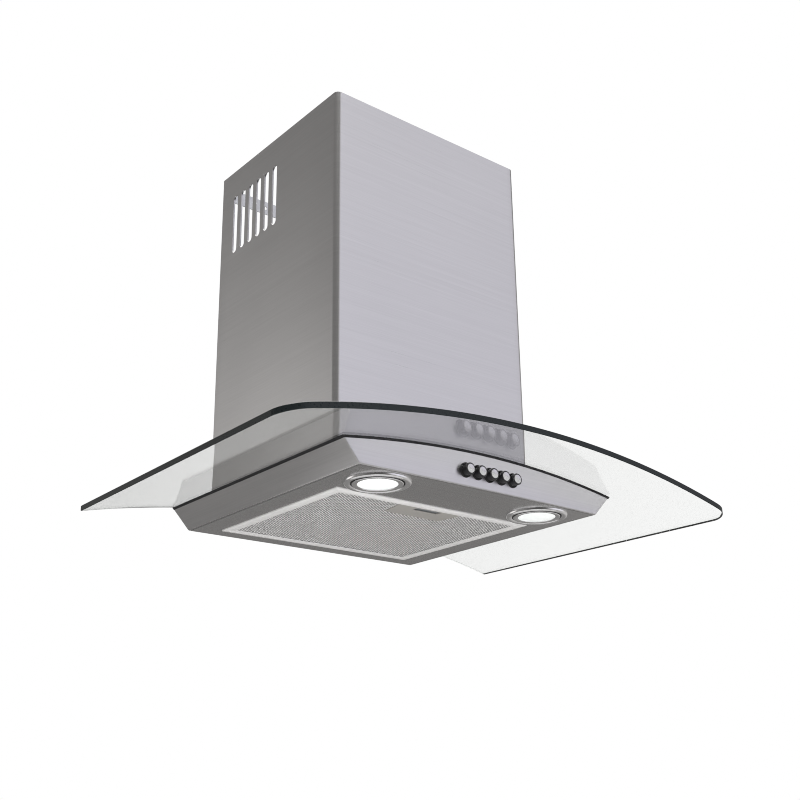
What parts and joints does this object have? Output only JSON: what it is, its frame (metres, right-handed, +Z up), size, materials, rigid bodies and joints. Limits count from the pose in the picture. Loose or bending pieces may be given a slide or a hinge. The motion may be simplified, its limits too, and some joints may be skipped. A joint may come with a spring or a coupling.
{
  "type": "range hood",
  "caption": "Wall-hung extractor hood with an arched clear glass canopy, telescopic steel chimney, push buttons, lamps and a drop-down mesh grease filter.",
  "frame": {"origin": "on the wall plane, midway between the two holes that the hood hangs from", "axes": "+Z up, +Y out of the hood's back into the wall, +X along the canopy's width (to the right of a person facing the hood)"},
  "size_m": [0.5992, 0.41, 0.466],
  "materials": {
    "canopy_glass": "clear tempered glass with a dark green edge",
    "black_rubber": "matt black rubber",
    "brushed_stainless": "fine horizontal brushing, satin",
    "galvanised_steel": "galvanised sheet",
    "spring_steel": "bright spring steel",
    "zinc_fasteners": "zinc plated",
    "white_nylon": "natural nylon",
    "blower_plastic": "dark grey moulded plastic",
    "black_plastic": "black moulded plastic",
    "motor_metal": "grey painted metal",
    "chrome_trim": "polished chrome",
    "lamp_glass": "frosted lens",
    "led_white": "white light source",
    "filter_aluminium": "bright rolled aluminium",
    "latch_grey": "satin grey"
  },
  "bodies": {
    "hood": {"glass_canopy": "canopy_glass", "glass_bushes": "white_nylon", "canopy_fasteners": "zinc_fasteners", "glass_gasket": "black_rubber", "throat_gaskets": "black_rubber", "body_shell": "brushed_stainless", "body_deck": "brushed_stainless", "body_rear_plate": "brushed_stainless", "chimney_lower": "brushed_stainless", "chimney_wall_bracket": "galvanised_steel", "cover_clips": "spring_steel", "motor_box": "galvanised_steel", "motor_box_lid": "galvanised_steel", "box_fasteners": "zinc_fasteners", "scroll_housing_left": "blower_plastic", "scroll_housing_right": "blower_plastic", "motor": "motor_metal", "motor_bracket": "galvanised_steel", "motor_mounts": "black_rubber", "capacitor": "motor_metal", "outlet_collar": "blower_plastic", "collar_flange": "galvanised_steel", "terminal_box": "black_plastic", "terminal_box_lid": "black_plastic", "cord_gland": "black_plastic", "lamp_driver": "white_nylon", "lamp_bezel_left": "chrome_trim", "lamp_bezel_right": "chrome_trim", "lamp_lens_left": "lamp_glass", "lamp_lens_right": "lamp_glass", "lamp_cup_left": "motor_metal", "lamp_cup_right": "motor_metal", "lamp_leds": "led_white", "lamp_clips": "spring_steel", "button_collars": "black_plastic", "switch_housing": "black_plastic", "switch_studs": "zinc_fasteners", "button_spring_1": "spring_steel", "button_spring_2": "spring_steel", "button_spring_3": "spring_steel", "button_spring_4": "spring_steel", "button_spring_5": "spring_steel"},
    "upper_cover": {"chimney_upper": "brushed_stainless"},
    "filter": {"filter_frame": "filter_aluminium", "filter_mesh_lower": "filter_aluminium", "filter_mesh_upper": "filter_aluminium", "filter_core": "filter_aluminium", "filter_tabs": "spring_steel", "latch_plate": "latch_grey", "latch_springs": "spring_steel"},
    "latch": {"latch_slide": "latch_grey"},
    "impeller": {"impeller": "blower_plastic", "impeller_shaft": "zinc_fasteners"},
    "flap_left": {"damper_flap_left": "blower_plastic"},
    "flap_right": {"damper_flap_right": "blower_plastic"},
    "button_1": {"button_1": "chrome_trim"},
    "button_2": {"button_2": "chrome_trim"},
    "button_3": {"button_3": "chrome_trim"},
    "button_4": {"button_4": "chrome_trim"},
    "button_5": {"button_5": "chrome_trim"}
  },
  "joints": [
    {"name": "chimney_slide", "type": "slide", "parent": "hood", "child": "upper_cover", "axis": [0, 0, 1], "range_m": [0, 0.3]},
    {"name": "button_1_press", "type": "slide", "parent": "hood", "child": "button_1", "axis": [0, 1, 0], "range_m": [0, 0.003], "stiffness_N_per_m": 300, "springref_m": -0.003, "deforming": ["button_spring_1"]},
    {"name": "button_2_press", "type": "slide", "parent": "hood", "child": "button_2", "axis": [0, 1, 0], "range_m": [0, 0.003], "stiffness_N_per_m": 300, "springref_m": -0.003, "deforming": ["button_spring_2"]},
    {"name": "button_3_press", "type": "slide", "parent": "hood", "child": "button_3", "axis": [0, 1, 0], "range_m": [0, 0.003], "stiffness_N_per_m": 300, "springref_m": -0.003, "deforming": ["button_spring_3"]},
    {"name": "button_4_press", "type": "slide", "parent": "hood", "child": "button_4", "axis": [0, 1, 0], "range_m": [0, 0.003], "stiffness_N_per_m": 300, "springref_m": -0.003, "deforming": ["button_spring_4"]},
    {"name": "button_5_press", "type": "slide", "parent": "hood", "child": "button_5", "axis": [0, 1, 0], "range_m": [0, 0.003], "stiffness_N_per_m": 300, "springref_m": -0.003, "deforming": ["button_spring_5"]},
    {"name": "filter_tilt", "type": "hinge", "parent": "hood", "child": "filter", "pos_m": [0, -0.0221, -0.187], "axis": [1, 0, 0], "range_deg": [0, 60]},
    {"name": "latch_pull", "type": "slide", "parent": "filter", "child": "latch", "axis": [0, 1, 0], "range_m": [0, 0.005], "stiffness_N_per_m": 250, "springref_m": -0.002, "deforming": ["latch_springs"]},
    {"name": "impeller_spin", "type": "hinge", "parent": "hood", "child": "impeller", "pos_m": [0, -0.15, -0.043], "axis": [1, 0, 0], "continuous": true},
    {"name": "flap_left_swing", "type": "hinge", "parent": "hood", "child": "flap_left", "pos_m": [-0.003, -0.103, 0.096], "axis": [0, 1, 0], "range_deg": [0, 75]},
    {"name": "flap_right_swing", "type": "hinge", "parent": "hood", "child": "flap_right", "pos_m": [0.003, -0.103, 0.096], "axis": [0, -1, 0], "range_deg": [0, 75]}
  ]
}
